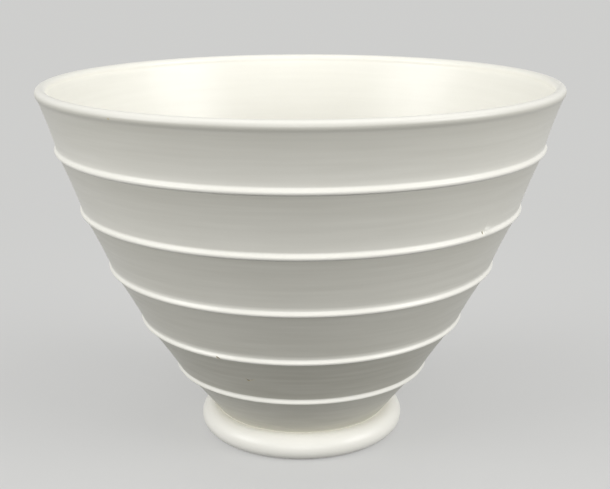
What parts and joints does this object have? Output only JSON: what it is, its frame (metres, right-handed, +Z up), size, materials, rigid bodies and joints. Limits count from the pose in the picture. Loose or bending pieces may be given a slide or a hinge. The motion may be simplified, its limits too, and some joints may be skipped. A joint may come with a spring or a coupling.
{
  "type": "conical vase",
  "caption": "Conical earthenware vase with raised turned ribs, a rolled lip, a smooth inside and a rounded foot ring, in a pale semi-matt glaze.",
  "frame": {"origin": "middle of the flat ring that the vase stands on", "axes": "+Z up along the vase's axis; the vase is round, so +X and +Y are free"},
  "size_m": [0.2262, 0.2262, 0.16],
  "materials": {
    "clay": "bare fired earthenware",
    "slip": "fired slip",
    "glaze": "semi-matt cream white glaze"
  },
  "bodies": {
    "root": {"bowl": "clay", "foot_ring": "clay", "luting_slip": "slip", "outer_glaze": "glaze", "inner_glaze": "glaze", "base_glaze": "glaze"}
  },
  "joints": []
}
